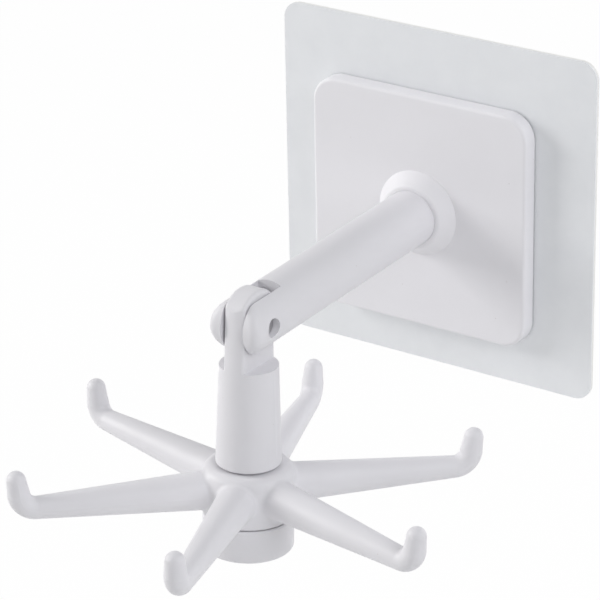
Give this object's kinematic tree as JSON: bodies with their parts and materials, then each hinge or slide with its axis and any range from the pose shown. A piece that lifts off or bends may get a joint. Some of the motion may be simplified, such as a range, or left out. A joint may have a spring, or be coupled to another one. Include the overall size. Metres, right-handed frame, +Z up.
{
  "type": "rotating hook rack",
  "caption": "Wall hook rack: a square adhesive film and base plate carry an arm whose forked end holds a folding stem with a ring of upturned hooks that turns freely.",
  "frame": {"origin": "where the arm's axis meets the wall plane, on the back of the adhesive coat", "axes": "+Y into the wall, +Z up, +X to the right of someone who faces the wall; the rack stands out along -Y"},
  "size_m": [0.101, 0.1225, 0.0941],
  "materials": {
    "adhesive": "soft, clear to milky, tacky",
    "film": "glossy, pearly white film",
    "plate_plastic": "satin moulded plastic, near white",
    "arm_plastic": "satin moulded plastic, near white",
    "hook_plastic": "satin moulded plastic, near white",
    "steel": "zinc plated, satin"
  },
  "bodies": {
    "base": {"wall_adhesive": "adhesive", "backing_film": "film", "plate_bond": "adhesive", "base_plate": "plate_plastic", "fork_arm": "arm_plastic", "arm_washer": "steel", "arm_screw": "steel", "hinge_pin": "steel"},
    "stem": {"stem": "arm_plastic", "end_cap": "hook_plastic", "cap_washer": "steel", "cap_screw": "steel"},
    "spider": {"hook_spider": "hook_plastic"}
  },
  "joints": [
    {"name": "stem_fold", "type": "hinge", "parent": "base", "child": "stem", "pos_m": [0, -0.0715, 0], "axis": [-1, 0, 0], "range_deg": [-11.9, 186.1]},
    {"name": "spider_spin", "type": "hinge", "parent": "stem", "child": "spider", "pos_m": [0, -0.0715, 0], "axis": [0, 0.0506, 0.9987], "continuous": true}
  ]
}
